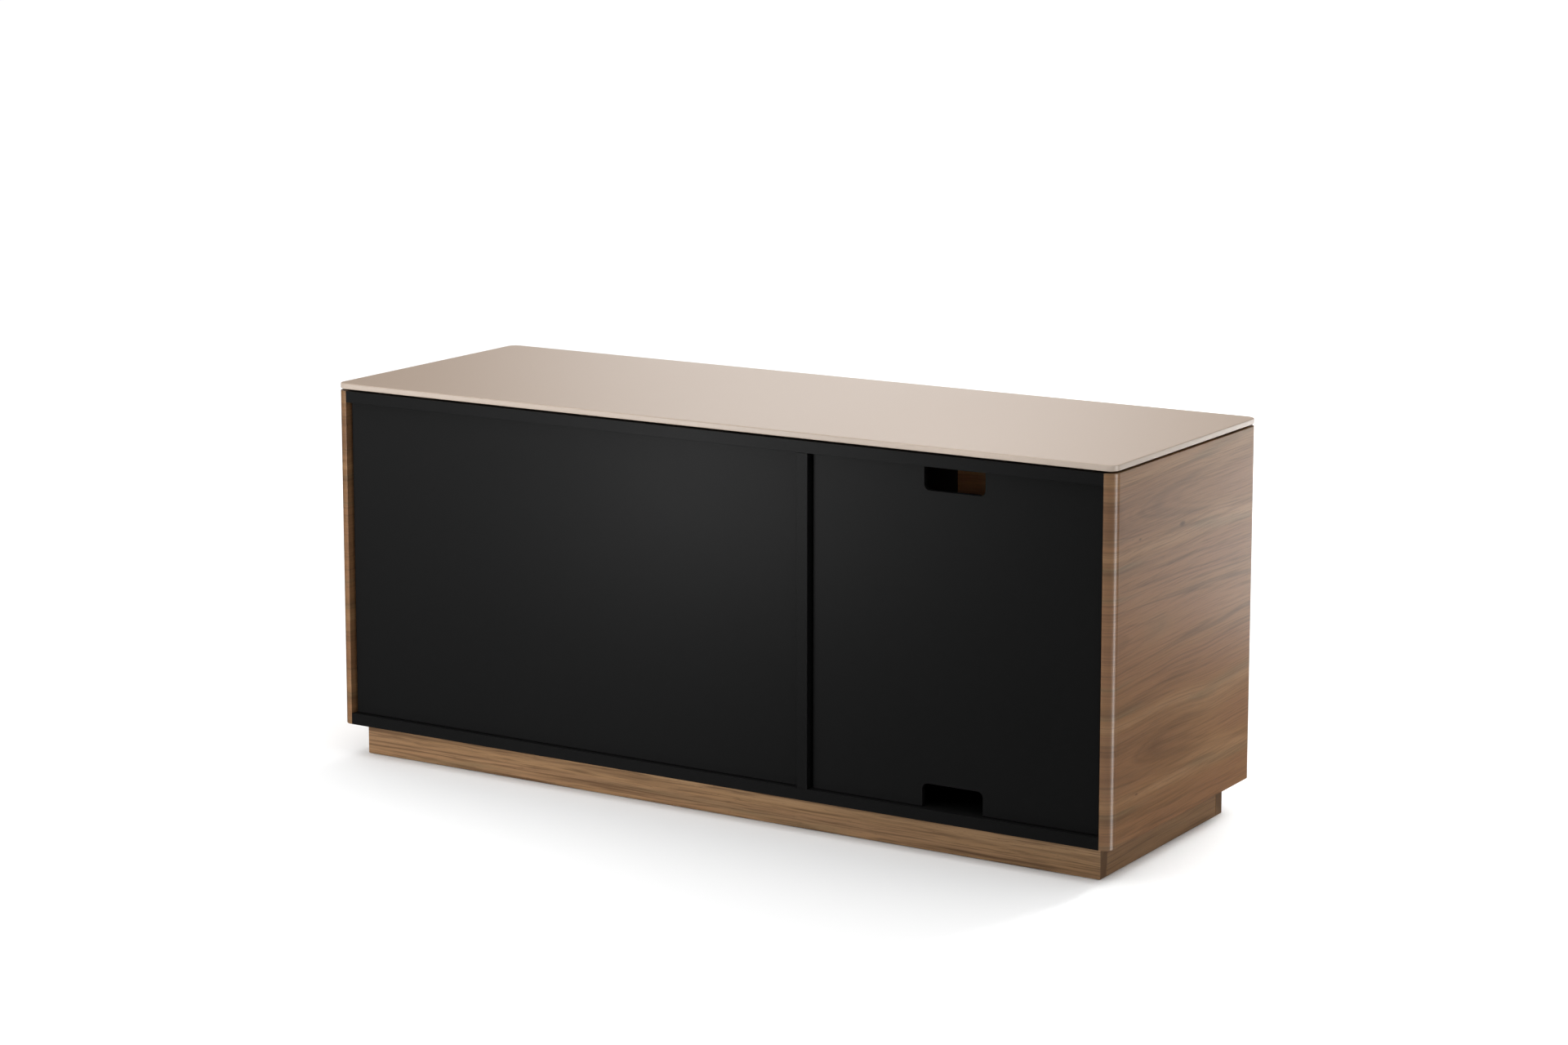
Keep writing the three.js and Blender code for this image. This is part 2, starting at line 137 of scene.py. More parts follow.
class Wire:
    # a shader socket that Python's operators work on

    def __init__(self, shader, socket):
        self.shader, self.socket = shader, socket

    def maths(self, operation, *values):
        inputs = dict(enumerate(values))
        return self.shader.add("ShaderNodeMath", {"operation": operation}, inputs, 0)

    def __add__(self, other):
        return self.maths("ADD", self, other)

    def __sub__(self, other):
        return self.maths("SUBTRACT", self, other)

    def __rsub__(self, other):
        return self.maths("SUBTRACT", other, self)

    def __mul__(self, other):
        return self.maths("MULTIPLY", self, other)

    def __pow__(self, other):
        return self.maths("POWER", self, other)

    __radd__ = __add__
    __rmul__ = __mul__


class Shader:
    # a material whose nodes are added one call at a time

    def __init__(self, name, tree=None):
        if tree is None:
            self.material = bpy.data.materials.new(name)
            self.material.use_nodes = True
            tree = self.material.node_tree
        self.tree = tree
        self.tree.nodes.clear()

    def add(self, kind, settings, inputs, output=None):
        node = self.tree.nodes.new(kind)
        for key, value in settings.items():
            if key == "stops":
                self.setStops(node.color_ramp, value)
            else:
                setattr(node, key, value)
        for key, value in inputs.items():
            if isinstance(value, Wire):
                self.tree.links.new(value.socket, node.inputs[key])
            else:
                node.inputs[key].default_value = value
        return node if output is None else Wire(self, node.outputs[output])

    def setStops(self, ramp, stops):
        while len(ramp.elements) < len(stops):
            ramp.elements.new(1.0)
        for element, (place, colour) in zip(ramp.elements, stops):
            element.position = place
            element.color = (*colour, 1.0)

    def axes(self, coordinates="Object"):
        place = self.add("ShaderNodeTexCoord", {}, {}, coordinates)
        parts = self.add("ShaderNodeSeparateXYZ", {}, {"Vector": place})
        return [Wire(self, parts.outputs[axis]) for axis in "XYZ"]

    def vector(self, x, y, z):
        return self.add("ShaderNodeCombineXYZ", {}, {"X": x, "Y": y, "Z": z}, "Vector")

    def noise(self, x, y, z, detail=2.0, rough=0.5):
        inputs = {"Vector": self.vector(x, y, z), "Scale": 1.0, "Detail": detail,
                  "Roughness": rough}
        return self.add("ShaderNodeTexNoise", {}, inputs, "Fac")

    def evenNoise(self, axes, scale, detail=2.0):
        # the same scale along all three axes
        return self.noise(*[axis * scale for axis in axes], detail)

    def smooth(self, value, low, high):
        # 0 under the low value, 1 over the high one
        settings = {"interpolation_type": "SMOOTHSTEP"}
        inputs = {"Value": value, "From Min": low, "From Max": high, "To Min": 0.0, "To Max": 1.0}
        return self.add("ShaderNodeMapRange", settings, inputs, "Result")

    def mix(self, share, first, second):
        settings = {"data_type": "RGBA", "blend_type": "MIX"}
        first, second = [c if isinstance(c, Wire) else (*c, 1.0) for c in (first, second)]
        return self.add("ShaderNodeMix", settings, {0: share, 6: first, 7: second}, 2)

    def finish(self, colour, roughness, bump=None, **constants):
        inputs = {"Base Color": colour, "Roughness": roughness}
        if bump is not None:
            relief = dict(zip(("Height", "Distance"), bump))
            inputs["Normal"] = self.add("ShaderNodeBump", {}, relief, "Normal")
        named = {"metallic": "Metallic", "specular": "Specular IOR Level", "coat": "Coat Weight",
                 "coatRoughness": "Coat Roughness"}
        inputs.update({named[key]: value for key, value in constants.items()})
        surface = self.add("ShaderNodeBsdfPrincipled", {}, inputs, "BSDF")
        self.add("ShaderNodeOutputMaterial", {"target": "ALL"}, {"Surface": surface})
        return self.material


# materials

walnutLook = {
    "dark": (0.084, 0.041, 0.018),
    "middle": (0.238, 0.123, 0.052),
    "light": (0.304, 0.172, 0.082),
    "pink": (0.238, 0.117, 0.053),
    "grey": (0.164, 0.117, 0.060),       # the grey-green heart of each tongue
    "leaf": 0.395,                       # metres from one leaf of veneer to the next
    "taper": 0.030,                      # how far the rings slope along the grain
    "bend": 0.030,                       # metres the grain wanders
    "wobble": 0.004,                     # and metres it wanders at a finer scale
    "stray": 0.016,                      # metres the rings stray where the grain bends
    "drifts": 26.0,                      # broad drifts of colour to a metre, at most
    "greys": 40.0,                       # grey patches to a metre, at most
    "bands": 75.0,                       # soft dark bands to a metre, at most
    "lines": 250.0,                      # thin dark lines to a metre, at most
    "fibres": 480.0,                     # fibres, flecks and pores to a metre, at most
    "flecks": 360.0,
    "pores": 1500.0,
    "contrast": 1.0,
    # how strongly each takes the colour over, from 0 to 1
    "share": {"grey": 0.72, "band": 0.58, "line": 0.46, "fibre": 0.46, "fleck": 0.18, "pore": 0.50,
              "knot": 0.85},
    "roughness": 0.35,
    "specular": 0.42,
    "relief": 0.00010,                   # metres
    "rubbedCoat": 0.9,                   # the closer shine of a rubbed edge
    "rubbedRoughness": 0.28,
}
plinthWalnutLook = dict(
    walnutLook, middle=(0.300, 0.172, 0.080), pink=(0.290, 0.165, 0.082),
    light=(0.410, 0.250, 0.125), taper=0.006, bend=0.010, contrast=1.45)
# the plinth's sides: the plinth walnut with weaker dark figure, so they read lighter; a painted
# lightening that makes up for the light they lack
plinthSideLightenedLook = dict(plinthWalnutLook, contrast=1.0)


def walnut(name, along, look, heart, start=0.0, knots=(), polished=None):
    # along is the grain's axis, heart the height of a leaf's middle, start the place in the log;
    # knots are (along, across, size), and polished is where a rubbed edge begins and ends
    shader = Shader(name)
    x, y, z = shader.axes()
    grain, across, thick = {"x": (x, z, y), "y": (y, z, x), "z": (z, x, y)}[along]
    share, contrast = look["share"], look["contrast"]
    depth = thick.maths("ABSOLUTE", thick)
    run = grain + depth + start

    # the grain wanders slowly, and a little at a finer scale
    bend = shader.noise(run * 1.7, across * 3.2, 0.0, 2.0)
    wobble = shader.noise(run * 6.0, across * 30.0, 0.0, 2.0)
    bent = across - heart + (bend - 0.5) * look["bend"] + (wobble - 0.5) * look["wobble"]

    # rings: (1 - cos) of the place across the leaf, plus a slope along the grain, so that each leaf
    # shows tongues pointing one way at its heart and the other way between two hearts
    phase = bent * (2 * math.pi / look["leaf"])
    swell = (1.0 - phase.maths("COSINE", phase)) * (look["leaf"] / (2 * math.pi))
    ring = swell + run * look["taper"] + (bend - 0.5) * look["stray"]

    # broad drifts of colour that follow the rings
    drift = shader.noise(ring * look["drifts"], run * 1.1, 1.0)
    colour = shader.add("ShaderNodeValToRGB", {"stops": [
        (0.28, look["light"]), (0.42, look["middle"]), (0.56, look["pink"]), (0.72, look["middle"]),
    ]}, {"Fac": drift}, "Color")
    grey = shader.smooth(shader.noise(ring * look["greys"] + 9.0, run * 2.6, 3.0), 0.54, 0.76)
    colour = shader.mix(grey * share["grey"], colour, look["grey"])

    # late wood: soft bands, then thin lines of uneven strength
    band = shader.noise(ring * look["bands"], run * 1.6, 6.0, 3.0, 0.55)
    band = shader.smooth(band, 0.49, 0.74)
    colour = shader.mix(band * (share["band"] * contrast), colour, look["dark"])
    line = shader.noise(ring * look["lines"] + 3.0, run * 2.0, 8.0)
    line = shader.smooth(line, 0.52, 0.66) * (0.25 + 0.75 * shader.smooth(drift, 0.34, 0.60))
    colour = shader.mix(line * (share["line"] * contrast), colour, look["dark"])

    # fibres, light flecks and open pores
    flow = ring * 0.3 + bent
    fibre = shader.noise(run * 9.0, flow * look["fibres"], 0.5, 3.0, 0.6)
    streak = shader.smooth(fibre, 0.44, 0.70)
    colour = shader.mix(streak * (share["fibre"] * contrast), colour, look["dark"])
    fleck = shader.noise(run * 8.0, flow * look["flecks"] + 5.0, 2.5)
    colour = shader.mix(shader.smooth(fleck, 0.50, 0.70) * share["fleck"], colour, look["light"])
    pore = shader.noise(run * 70.0, flow * look["pores"], 4.5, 1.0)
    pore = shader.smooth(pore, 0.66, 0.76)
    colour = shader.mix(pore * share["pore"], colour, look["dark"])

    # a pin knot is dark at its middle, and longer along the grain than across it
    for knotRun, knotAcross, size in knots:
        away = (grain - knotRun) * (0.42 / size)
        beside = (bent - (knotAcross - heart)) * (1.1 / size)
        reach = (away * away + beside * beside) ** 0.5
        near = 1.0 - shader.smooth(reach, 0.15, 1.0)
        colour = shader.mix(near * share["knot"], colour, look["dark"])

    rough = look["roughness"] + fibre * 0.10 - pore * 0.05
    height = fibre * 0.5 - pore
    extra = {"specular": look["specular"]}
    if polished is not None:
        extra["coat"] = shader.smooth(grain, *polished) * look["rubbedCoat"]
        extra["coatRoughness"] = look["rubbedRoughness"]
    return shader.finish(colour, rough, (height, look["relief"]), **extra)


blackLook = {
    "colour": (0.0042, 0.0042, 0.0043),
    "lighter": 1.5,           # how much lighter its specks and clouds are
    "speckShare": 0.5,
    "cloudShare": 0.3,
    "roughness": 0.44,
    "specular": 0.36,
    "relief": 0.00006,        # metres, of the peel
}


def blackLacquer(name, look):
    shader = Shader(name)
    axes = shader.axes()
    cloud = shader.evenNoise(axes, 3.0, 3.0)
    peel = shader.evenNoise(axes, 420.0)
    speck = shader.smooth(shader.evenNoise(axes, 900.0, 1.0), 0.70, 0.80)
    lighter = tuple(c * look["lighter"] for c in look["colour"])
    share = speck * look["speckShare"] + cloud * look["cloudShare"]
    colour = shader.mix(share, look["colour"], lighter)
    rough = look["roughness"] + (cloud - 0.5) * 0.06 + (peel - 0.5) * 0.05
    return shader.finish(colour, rough, (peel, look["relief"]), specular=look["specular"])


glassLook = {
    "paint": (0.572, 0.444, 0.350),
    "edge": (0.46, 0.39, 0.33),
    "edgeShare": 0.8,
    "cloudShare": 0.12,
    "cloudLighter": 1.06,
    "roughness": 0.33,
    "specular": 0.5,
    "coat": 0.25,
    "coatRoughness": 0.22,
    "relief": 0.00002,        # metres, of the etching
}


def satinGlass(name, look):
    shader = Shader(name)
    axes = shader.axes()
    rim = shader.add("ShaderNodeAttribute", {"attribute_name": "rim"}, {}, "Fac")
    etch = shader.evenNoise(axes, 1400.0)
    cloud = shader.evenNoise(axes, 2.5)
    lighter = tuple(c * look["cloudLighter"] for c in look["paint"])
    colour = shader.mix(cloud * look["cloudShare"], look["paint"], lighter)
    colour = shader.mix(shader.smooth(rim, 0.2, 0.9) * look["edgeShare"], colour, look["edge"])
    rough = look["roughness"] + (etch - 0.5) * 0.10 + (cloud - 0.5) * 0.03
    same = {key: look[key] for key in ("specular", "coat", "coatRoughness")}
    return shader.finish(colour, rough, (etch, look["relief"]), **same)


smallLooks = {
    # name: colour, metallic, roughness, scale of the texture, bump in metres
    "blackSteel": ((0.018, 0.018, 0.019), 0.0, 0.48, 900.0, 0.00005),
    "nickel": ((0.62, 0.60, 0.57), 1.0, 0.24, 300.0, 0.00001),
    "mouldedPlastic": ((0.020, 0.020, 0.021), 0.0, 0.55, 1400.0, 0.00004),
    "nylon": ((0.72, 0.69, 0.61), 0.0, 0.45, 700.0, 0.00002),
    "silicone": ((0.52, 0.52, 0.50), 0.0, 0.38, 500.0, 0.00002),
    "magnetSteel": ((0.42, 0.42, 0.43), 1.0, 0.34, 260.0, 0.00001),
}


def smallFinish(name):
    colour, metallic, roughness, scale, bump = smallLooks[name]
    shader = Shader(name)
    axes = shader.axes()
    grit = shader.evenNoise(axes, scale)
    wear = shader.smooth(shader.evenNoise(axes, 40.0, 3.0), 0.45, 0.75)
    worn = tuple(min(1.0, c * 1.35) for c in colour)
    shade = shader.mix(wear * 0.35, colour, worn)
    rough = roughness + (grit - 0.5) * 0.10 + wear * 0.06
    return shader.finish(shade, rough, (grit, bump), metallic=metallic)


walnutPieces = {
    # name: grain axis, look, heart, start, then a side panel's pin knots and its rubbed rear edge
    "walnutSide": ("y", walnutLook, 0.585, 0.0,
                   [(0.020, 0.539, 0.0065), (0.172, 0.541, 0.003), (0.172, 0.132, 0.003)],
                   (0.241, 0.252)),
    "walnutFront": ("x", walnutLook, 0.47, 0.9),
    "walnutPlinth": ("x", plinthWalnutLook, 0.125, 1.7),
    # the plinth's sides take that lightened look: painted light, for their dimmer lighting
    "walnutPlinthSideLightened": ("y", plinthSideLightenedLook, -0.06, 2.3),
    "walnutEnd": ("z", plinthWalnutLook, 0.61, 0.6),
}


def makeMaterials():
    made = {name: smallFinish(name) for name in smallLooks}
    made.update({name: walnut(name, *settings) for name, settings in walnutPieces.items()})
    made["blackLacquer"] = blackLacquer("blackLacquer", blackLook)
    made["satinGlass"] = satinGlass("satinGlass", glassLook)
    return made


# surfaces

def arcOutline(arcs, steps):
    # arcs are (centre, radius, start angle, way round); each point is the centre plus the radius
    # times (cos, sin), and its outward direction is (cos, sin), turned about on a hollow corner
    share = np.linspace(0, math.pi / 2, steps)[None, :]
    centres = np.array([arc[0] for arc in arcs])[:, None, :]
    radii, starts, ways = np.array([arc[1:] for arc in arcs]).T[:, :, None]
    angle = starts + ways * share
    outward = np.stack([np.cos(angle), np.sin(angle)], -1)
    points = centres + radii[..., None] * outward
    return points.reshape(-1, 2), (outward * ways[..., None]).reshape(-1, 2)


def roundedOutline(low, high, radius, steps):
    # a rectangle, anticlockwise from its low corner, with a quarter circle at each corner
    signs = np.array([(-1, -1), (1, -1), (1, 1), (-1, 1)], float)
    arcs = []
    for corner, sign in enumerate(signs):
        centre = np.where(sign > 0, np.asarray(high) - radius, np.asarray(low) + radius)
        arcs.append((centre, radius, math.pi + corner * math.pi / 2, 1))
    return arcOutline(arcs, steps)


def shellFaces(rings, around):
    # quads between neighbouring rings of a grid, as whole arrays of corner numbers, then one
    # polygon over the first ring and one over the last
    row = np.arange(rings - 1)[:, None] * around
    column = np.arange(around)[None, :]
    nextColumn = (column + 1) % around
    corners = [row + column, row + nextColumn, row + around + nextColumn, row + around + column]
    faces = np.stack([c.reshape(-1) for c in corners], 1).tolist()
    first = list(range(around))
    return faces + [first[::-1], [(rings - 1) * around + i for i in first]]


# an outline's two axes, then the axis it is carried along
planes = {"z": (0, 1, 2), "y": (2, 0, 1), "x": (1, 2, 0)}


def meshObject(name, points, faces, smoothAngle=None, normals=None):
    mesh = bpy.data.meshes.new(name)
    mesh.from_pydata(points.tolist(), [], faces)
    mesh.shade_smooth()
    if smoothAngle is not None:
        mesh.set_sharp_from_angle(angle=math.radians(smoothAngle))
    if normals is not None:
        mesh.normals_split_custom_set_from_vertices(normals.tolist())
    piece = bpy.data.objects.new(name, mesh)
    bpy.context.scene.collection.objects.link(piece)
    return piece


def slab(name, outline, low, high, axis, arris, arrisSteps=4):
    # an outline carried along an axis: a quarter round of radius arris at the low face, the wall,
    # and a quarter round at the high face; each flat face is one polygon
    shape, outward = outline
    angle = np.linspace(0, math.pi / 2, arrisSteps)
    inset = np.concatenate([arris * (1 - np.sin(angle)), arris * (1 - np.cos(angle))])
    along = np.concatenate([low + arris * (1 - np.cos(angle)), high - arris * (1 - np.sin(angle))])
    lean = np.concatenate([-np.cos(angle), np.sin(angle)])
    first, second, third = planes[axis]
    rings, around = len(inset), len(shape)
    points, normals = np.empty((2, rings, around, 3))
    for plane, values in ((first, 0), (second, 1)):
        points[..., plane] = shape[None, :, values] - inset[:, None] * outward[None, :, values]
        normals[..., plane] = np.sqrt(1 - lean[:, None] ** 2) * outward[None, :, values]
    points[..., third] = along[:, None]
    normals[..., third] = lean[:, None]
    faces = shellFaces(rings, around)
    return meshObject(name, points.reshape(-1, 3), faces, normals=normals.reshape(-1, 3))


def turned(name, profile, centre, axis, around, smoothAngle=35.0):
    # a profile of (radius, height) turned once about the axis through centre: each point is the
    # centre plus radius times (cos, sin) across the axis, and plus height along it
    profile = np.asarray(profile, float)
    angle = np.linspace(0, 2 * math.pi, around, endpoint=False)
    points = np.empty((len(profile), around, 3))
    first, second, third = planes[axis]
    points[..., first] = centre[first] + profile[:, :1] * np.cos(angle)
    points[..., second] = centre[second] + profile[:, :1] * np.sin(angle)
    points[..., third] = centre[third] + profile[:, 1:]
    return meshObject(name, points.reshape(-1, 3), shellFaces(len(profile), around), smoothAngle)


def plugProfile(radius, low, high, taper=1.0, hole=0.2):
    # a round plug from low to high; taper and hole are shares of its radius, at the high end and
    # of the small ring in the middle of each flat end
    return [(radius * hole, low), (radius, low), (radius * taper, high), (radius * hole, high)]


def roundedProfile(corners, radius, steps=4):
    # each corner of a profile becomes a short curve: (1-t)^2 of a point before it, 2t(1-t) of the
    # corner, and t^2 of a point after it
    corners = np.asarray(corners, float)
    points = [corners[:1]]
    share = np.linspace(0, 1, steps)[:, None]
    for before, corner, after in zip(corners[:-2], corners[1:-1], corners[2:]):
        ends = []
        for other in (before, after):
            reach = np.linalg.norm(other - corner)
            ends.append(corner + (other - corner) * min(0.45, radius / max(reach, 1e-9)))
        start, end = ends
        curve = (1 - share) ** 2 * start + 2 * share * (1 - share) * corner + share ** 2 * end
        points.append(curve)
    points.append(corners[-1:])
    return np.concatenate(points)


copyRules = {
    "merge": 1e-6,       # metres, for the loose triangles' shared corners
    # degrees: neighbouring faces under the first are one face, edges over the second are sharp,
    # and edges over the third are rounded
    "flat": 1, "sharp": 30, "rounded": 50,
}


def bevelledCopy(name, node, width, segments=2):
    # the node's own shape with its edges rounded, for boards that have holes and pockets
    mesh = frame["nodes"][node].data.copy()
    mesh.name = name
    piece = bpy.data.objects.new(name, mesh)
    bpy.context.scene.collection.objects.link(piece)
    flat, sharp, rounded = [math.radians(copyRules[key]) for key in ("flat", "sharp", "rounded")]
    work = bmesh.new()
    work.from_mesh(mesh)
    bmesh.ops.remove_doubles(work, verts=work.verts, dist=copyRules["merge"])
    bmesh.ops.dissolve_limit(work, angle_limit=flat, verts=work.verts, edges=work.edges)
    work.to_mesh(mesh)
    work.free()
    mesh.shade_smooth()
    mesh.set_sharp_from_angle(angle=sharp)
    bevel = piece.modifiers.new("edges", "BEVEL")
    bevel.width = width
    bevel.segments = segments
    bevel.limit_method = "ANGLE"
    bevel.angle_limit = rounded
    shading = piece.modifiers.new("flatFaces", "WEIGHTED_NORMAL")
    shading.keep_sharp = True
    return piece


def dress(piece, material, slotName, body, *nodes):
    # a piece's finish, the body it rides on, and the CAD nodes that it stands for
    piece.data.materials.clear()
    piece.data.materials.append(material)
    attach(piece, body)
    if nodes:
        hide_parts(*nodes)
    return piece


def spans(node):
    low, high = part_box(node)
    return np.array(low), np.array(high)


def inOutline(values, axis):
    # the two coordinates of a point that an outline carried along this axis uses
    first, second, _ = planes[axis]
    return values[first], values[second]


def boardFromNode(name, node, axis, radius, arris):
    # a slab with the node's own box, so its size and place stay the frame's
    low, high = spans(node)
    third = planes[axis][2]
    outline = roundedOutline(inOutline(low, axis), inOutline(high, axis), radius, steps=4)
    return slab(name, outline, low[third], high[third], axis, arris)


# carcass and glass

carcassLook = {
    "cornerRadius": 0.018,    # the side panels' outer edges and the glass corners, seen from above
    "edge": 0.0010,           # rounding on the walnut's crisp edges
    "blackEdge": 0.0004,
    "blackCorner": 2,         # how many times that rounding the shelves' and cleats' corners have
    "glassEdge": 0.0019,
    "glassSteps": (18, 8),    # points in each corner, and in each rounded edge
    "rimSteepness": 6,
}


def makeSidePanels(materials, look):
    for node in ("side_panel_left", "side_panel_right"):
        piece = bevelledCopy("walnut_" + node, node, look["edge"])
        dress(piece, materials["walnutSide"], "walnut", bodyOf[node], node)


def makeGlass(materials, look):
    low, high = spans("glass_top")
    cornerSteps, edgeSteps = look["glassSteps"]
    outline = roundedOutline(low[:2], high[:2], look["cornerRadius"], cornerSteps)
    piece = slab("satin_glass_top", outline, low[2], high[2], "z", look["glassEdge"], edgeSteps)
    places = np.empty(len(piece.data.vertices) * 3)
    piece.data.vertices.foreach_get("co", places)
    # rim is 0 on the flat faces and 1 where the wall is upright
    lift = np.abs(places[2::3] - (low[2] + high[2]) / 2) / ((high[2] - low[2]) / 2)
    rim = np.clip((1 - lift) * look["rimSteepness"], 0, 1)
    layer = piece.data.attributes.new("rim", "FLOAT", "POINT")
    layer.data.foreach_set("value", rim)
    dress(piece, materials["satinGlass"], "top_glass", bodyOf["glass_top"], "glass_top")


def makeBoards(materials, look):
    for node in ("top_board", "bottom_board", "partition"):
        piece = bevelledCopy("black_" + node, node, look["blackEdge"])
        dress(piece, materials["blackLacquer"], "black_board", bodyOf[node], node)
    edge = look["blackEdge"]
    for node in ("shelf_narrow", "shelf_wide", "cleat_narrow_side", "cleat_narrow_partition",
                 "cleat_wide_partition", "cleat_wide_side"):
        piece = boardFromNode("black_" + node, node, "z", edge * look["blackCorner"], edge)
        dress(piece, materials["blackLacquer"], "black_board", bodyOf[node], node)


# screws and magnets on the cleats, and keepers on the panel

fixingLook = {
    "headRadius": 0.0036, "crown": 0.0005, "proud": 0.0001,
    "headGrid": (22, 48),                   # rings, and points around
    "headMiddle": 0.02,                     # the last ring, as a share of the radius
    "crossWidth": 0.0011, "crossReach": 0.0022, "crossDepth": 0.0009,
    "crossSlope": (0.0002, 0.0003),         # metres its walls lean, at the sides and at the ends
    "headUnder": [(0.2, -0.0020), (0.8, -0.0020), (1.0, -0.0002)],    # share of the radius, height
    "screwHeights": (0.12, 0.50, 0.88),     # shares of the cleat's height
    "magnetRadius": 0.0045, "magnetBuried": 0.002, "magnetProud": 0.00012, "keeperProud": 0.00006,
    "magnetEdge": 0.04,                     # share of the radius
    "magnetHeights": (0.10, 0.90),
}


def screwHead(name, place, axis, facing, look):
    # a polar grid: the height is a low crown, crown * (1 - (r / R)^2), less a cross-shaped recess
    # where |x| or |y| is under half the cross's width, out to its reach
    radius = look["headRadius"]
    sideSlope, endSlope = look["crossSlope"]
    rings, around = look["headGrid"]
    steps = np.linspace(1.0, look["headMiddle"], rings)[:, None] * radius
    angle = np.linspace(0, 2 * math.pi, around, endpoint=False)[None, :]
    across = np.minimum(np.abs(steps * np.cos(angle)), np.abs(steps * np.sin(angle)))
    arm = np.clip((look["crossWidth"] / 2 - across) / sideSlope + 0.5, 0, 1)
    reach = np.clip((look["crossReach"] - steps) / endSlope + 0.5, 0, 1)
    face = look["crown"] * (1 - (steps / radius) ** 2) - look["crossDepth"] * arm * reach
    under = np.array(look["headUnder"])
    radii = np.concatenate([under[:, :1] * radius, steps])
    heights = np.concatenate([np.repeat(under[:, 1:], around, 1), face + look["proud"]])
    first, second, third = planes[axis]
    points = np.empty((*heights.shape, 3))
    points[..., first] = place[first] + radii * np.cos(angle) * facing
    points[..., second] = place[second] + radii * np.sin(angle)
    points[..., third] = place[third] + heights * facing
    return meshObject(name, points.reshape(-1, 3), shellFaces(*heights.shape), smoothAngle=30.0)


def flipped(corners):
    # a profile turned to point the other way along its axis
    return np.array(corners)[::-1] * np.array([1, -1])


def disc(name, place, facing, proud, look):
    radius = look["magnetRadius"]
    corners = plugProfile(radius, -look["magnetBuried"], proud)
    if facing < 0:
        corners = flipped(corners)
    profile = roundedProfile(corners, radius * look["magnetEdge"])
    return turned(name, profile, place, "y", around=36)


def makeFixings(materials, look):
    # facing is the way along X that a cleat's screws look
    for bay, wall, facing in (("narrow", "side", 1), ("narrow", "partition", -1),
                              ("wide", "partition", 1), ("wide", "side", -1)):
        node = f"cleat_{bay}_{wall}"
        low, high = spans(node)
        face = high[0] if facing > 0 else low[0]
        middle = (low + high) / 2
        tall = high[2] - low[2]
        for number, share in enumerate(look["screwHeights"], 1):
            place = (face, middle[1], low[2] + share * tall)
            piece = screwHead(f"screw_{bay}_{wall}_{number}", place, "x", facing, look)
            dress(piece, materials["blackSteel"], "black_steel", bodyOf[node])
        if bay == "wide":
            continue      # the wide panel is fixed, so it has no magnets
        for number, share in enumerate(look["magnetHeights"], 1):
            place = np.array([middle[0], high[1], low[2] + share * tall])
            piece = disc(f"magnet_{wall}_{number}", place, 1, look["magnetProud"], look)
            dress(piece, materials["magnetSteel"], "bright_steel", bodyOf[node])
            place[1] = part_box("back_panel_narrow")[0][1]
            piece = disc(f"keeper_{wall}_{number}", place, -1, look["keeperProud"], look)
            dress(piece, materials["magnetSteel"], "bright_steel", bodyOf["back_panel_narrow"])


# back panels

panelLook = {
    "edge": 0.0005,
    "corner": 1.5,            # how many times that rounding the panels' corners have
    "notchWidth": 0.1106,
    "notchHeight": 0.040,     # from the board's face to the notch's edge
    "notchRadius": 0.010,
    "edgeGap": 0.001,         # between the panel and that board
    "cornerSteps": 9,
}


def notchedOutline(low, high, look, edge):
    # anticlockwise in (z, x): the panel's box with a round-cornered notch at its low and its high end
    middle = (low[1] + high[1]) / 2
    half = look["notchWidth"] / 2
    deep = look["notchHeight"] - look["edgeGap"]
    radius = look["notchRadius"]
    flat, right = math.pi, math.pi / 2
    # (centre, radius, start angle, way round) for each corner
    return arcOutline([
        ((low[0] + edge, low[1] + edge), edge, flat, 1),
        ((high[0] - edge, low[1] + edge), edge, -right, 1),
        ((high[0] - edge, middle - half - edge), edge, 0, 1),
        ((high[0] - deep + radius, middle - half + radius), radius, -right, -1),
        ((high[0] - deep + radius, middle + half - radius), radius, flat, -1),
        ((high[0] - edge, middle + half + edge), edge, -right, 1),
        ((high[0] - edge, high[1] - edge), edge, 0, 1),
        ((low[0] + edge, high[1] - edge), edge, right, 1),
        ((low[0] + edge, middle + half + edge), edge, flat, 1),
        ((low[0] + deep - radius, middle + half - radius), radius, right, -1),
        ((low[0] + deep - radius, middle - half + radius), radius, 0, -1),
        ((low[0] + edge, middle - half - edge), edge, right, 1),
    ], look["cornerSteps"])


def makeBackPanels(materials, look):
    edge = look["edge"]
    corner = edge * look["corner"]
    node = "back_panel_wide"
    piece = boardFromNode("black_" + node, node, "y", corner, edge)
    dress(piece, materials["blackLacquer"], "black_board", bodyOf[node], node)
    node = "back_panel_narrow"
    low, high = spans(node)
    outline = notchedOutline(inOutline(low, "y"), inOutline(high, "y"), look, corner)
    piece = slab("black_" + node, outline, low[1], high[1], "y", edge)
    dress(piece, materials["blackLacquer"], "black_board", bodyOf[node], node)


# plinth and feet

plinthLook = {
    "edge": 0.0009,
    "corner": 1.3,      # how many times that rounding the boards' corners have
    "endFaces": 0.8,    # a face that looks this much along X is one of a board's two ends
}


